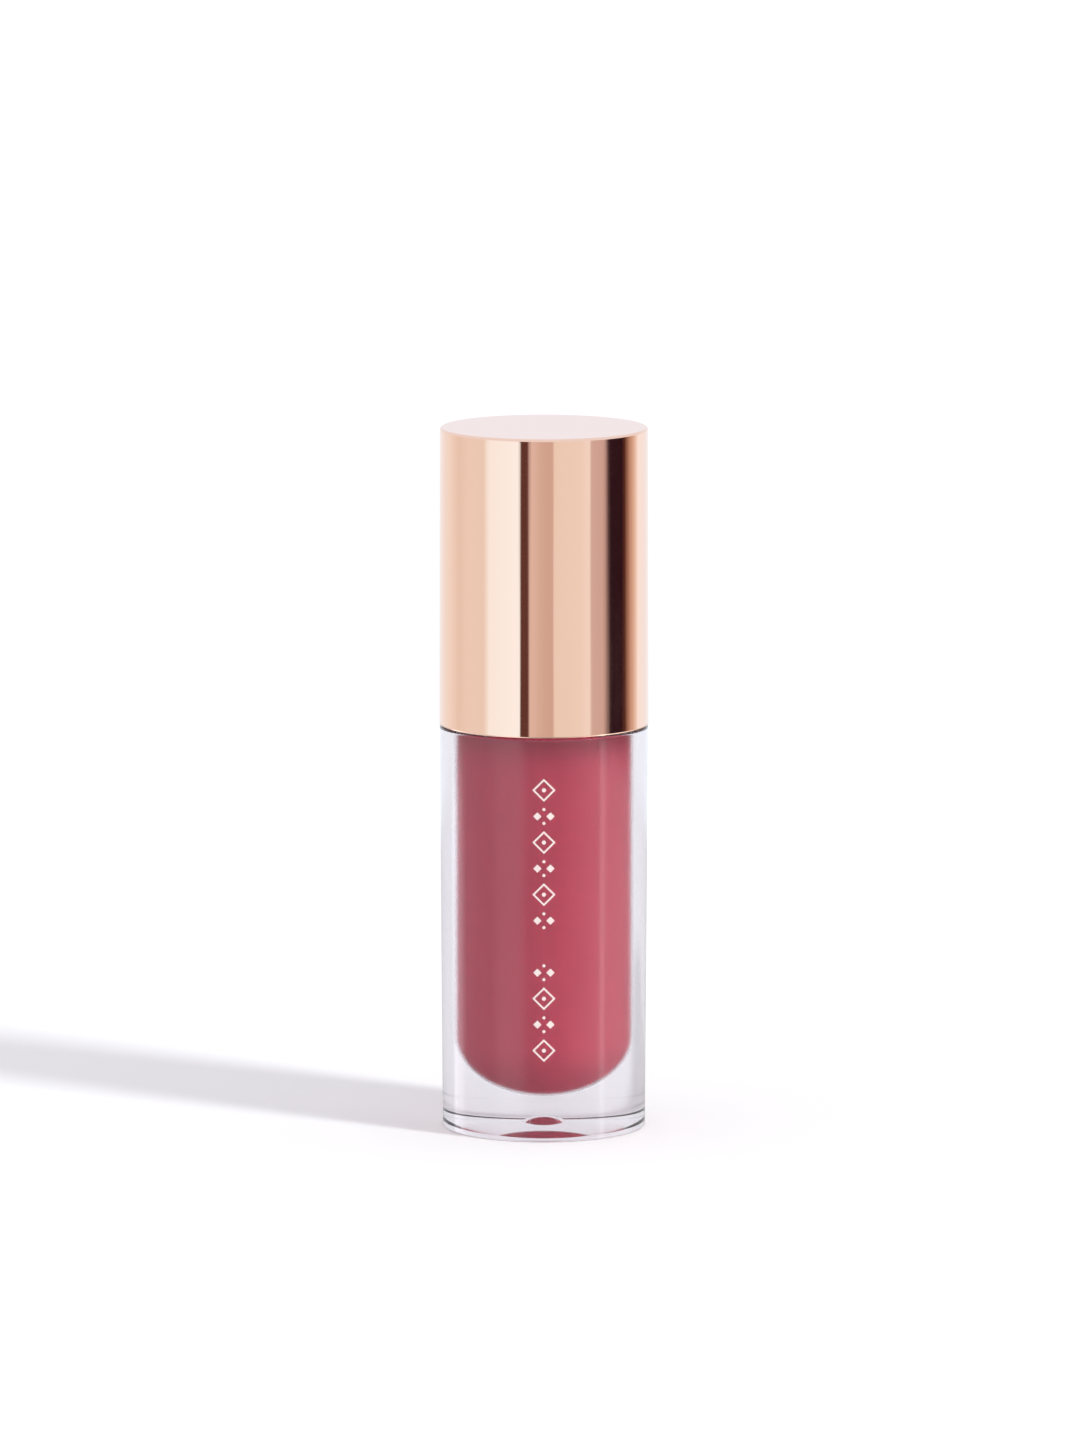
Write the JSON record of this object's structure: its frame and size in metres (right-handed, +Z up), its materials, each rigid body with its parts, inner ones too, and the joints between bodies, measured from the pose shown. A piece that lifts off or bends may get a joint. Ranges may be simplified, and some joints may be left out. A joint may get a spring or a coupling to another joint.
{
  "type": "lip gloss tube",
  "caption": "Round lip gloss tube: thick clear bottle with a rounded cavity and threaded neck, metal screw cap carrying a wiped doe-foot applicator.",
  "frame": {"origin": "centre of the bottle's base, on the surface it stands on", "axes": "+Z up along the tube's axis, from the base to the cap's top; the front, where the foil print is, faces -Y"},
  "size_m": [0.02, 0.02, 0.0672],
  "materials": {
    "clear_plastic": "clear, polished",
    "soft_plastic": "natural, translucent",
    "gloss": "wet, rose pink",
    "washer_foam": "fine closed-cell foam",
    "steel": "turned, zinc plated",
    "rose_gold": "polished rose-gold anodised",
    "white_plastic": "moulded, satin",
    "stem_plastic": "moulded, smooth",
    "core_plastic": "moulded, matt",
    "flocking": "short fibres, wet with gloss",
    "foil": "cream hot-stamped foil"
  },
  "bodies": {
    "bottle_body": {"bottle": "clear_plastic", "wiper": "soft_plastic", "gloss_fill": "gloss"},
    "washer_body": {"sealing_washer": "washer_foam"},
    "weight_body": {"cap_weight": "steel"},
    "cap_body": {"cap_shell": "rose_gold", "inner_cap": "white_plastic", "stem": "stem_plastic", "tip_core": "core_plastic", "tip_flocking": "flocking"}
  },
  "joints": [
    {"name": "cap_lift", "type": "slide", "parent": "bottle_body", "child": "washer_body", "axis": [0, 0, 1], "range_m": [0, 0.055]},
    {"name": "cap_rise", "type": "slide", "parent": "washer_body", "child": "weight_body", "axis": [0, 0, 1], "range_m": [0, 0.00384]},
    {"name": "cap_turn", "type": "hinge", "parent": "weight_body", "child": "cap_body", "pos_m": [0, 0, 0.053], "axis": [0, 0, 1], "range_deg": [0, 460]}
  ],
  "couplings": [
    {"joint": "cap_rise", "follows": "cap_turn", "m_per_rad": 0.00047746}
  ]
}
